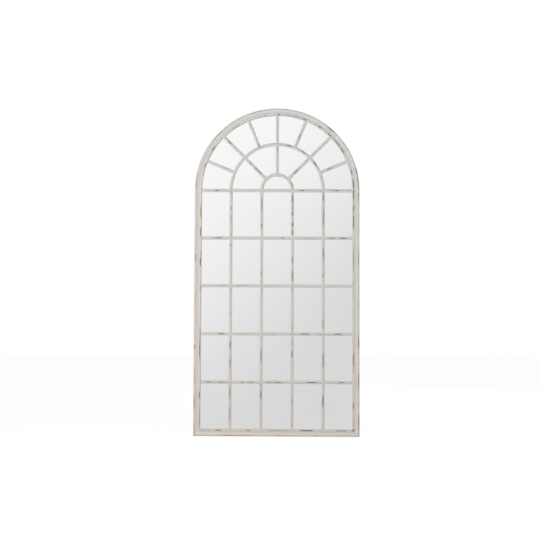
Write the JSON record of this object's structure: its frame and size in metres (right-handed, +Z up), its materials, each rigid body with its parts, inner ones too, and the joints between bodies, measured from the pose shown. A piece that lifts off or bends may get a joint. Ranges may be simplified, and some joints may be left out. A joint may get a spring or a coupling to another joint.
{
  "type": "arched window mirror",
  "caption": "Tall arched wall mirror: a moulded, distressed painted wood frame with window glazing bars in a grid and a fan over one sheet of mirror glass, with ring hangers behind.",
  "frame": {"origin": "middle of the bottom edge, half way through the whole depth", "axes": "+Z up the mirror, -Y out of its front, +X to the right as seen from the front"},
  "size_m": [0.9, 0.036, 1.79],
  "materials": {
    "painted_wood": "off-white chalky paint, rubbed through along the edges",
    "mirror_glass": "silvered float glass",
    "dowel_wood": "bare beech",
    "foam": "closed-cell foam",
    "hardboard": "bare hardboard",
    "screw_steel": "zinc plated",
    "hanger_steel": "nickel plated",
    "rubber": "matt"
  },
  "bodies": {
    "frame": {"left_stile": "painted_wood", "right_stile": "painted_wood", "bottom_rail": "painted_wood", "arch_segment_1": "painted_wood", "arch_segment_2": "painted_wood", "arch_segment_3": "painted_wood", "frame_dowels": "dowel_wood", "spring_bar": "painted_wood", "cross_bar_1": "painted_wood", "cross_bar_2": "painted_wood", "cross_bar_3": "painted_wood", "cross_bar_4": "painted_wood", "upright_bar_1": "painted_wood", "upright_bar_2": "painted_wood", "upright_bar_3": "painted_wood", "upright_bar_4": "painted_wood", "middle_arch": "painted_wood", "inner_arch": "painted_wood", "long_fan_bar_1": "painted_wood", "long_fan_bar_2": "painted_wood", "long_fan_bar_3": "painted_wood", "short_fan_bar_1": "painted_wood", "short_fan_bar_2": "painted_wood", "short_fan_bar_3": "painted_wood", "short_fan_bar_4": "painted_wood", "mirror_glass": "mirror_glass", "foam_pads": "foam", "backing_board": "hardboard", "board_screws": "screw_steel", "left_hanger_strap": "hanger_steel", "right_hanger_strap": "hanger_steel", "hanger_screws": "screw_steel", "wall_bumpers": "rubber"},
    "left_ring": {"left_hanger_ring": "hanger_steel"},
    "right_ring": {"right_hanger_ring": "hanger_steel"}
  },
  "joints": [
    {"name": "left_ring_swing", "type": "hinge", "parent": "frame", "child": "left_ring", "pos_m": [-0.439, 0.01285, 1.24], "axis": [1, 0, 0], "range_deg": [0, 174]},
    {"name": "right_ring_swing", "type": "hinge", "parent": "frame", "child": "right_ring", "pos_m": [0.439, 0.01285, 1.24], "axis": [1, 0, 0], "range_deg": [0, 174]}
  ]
}
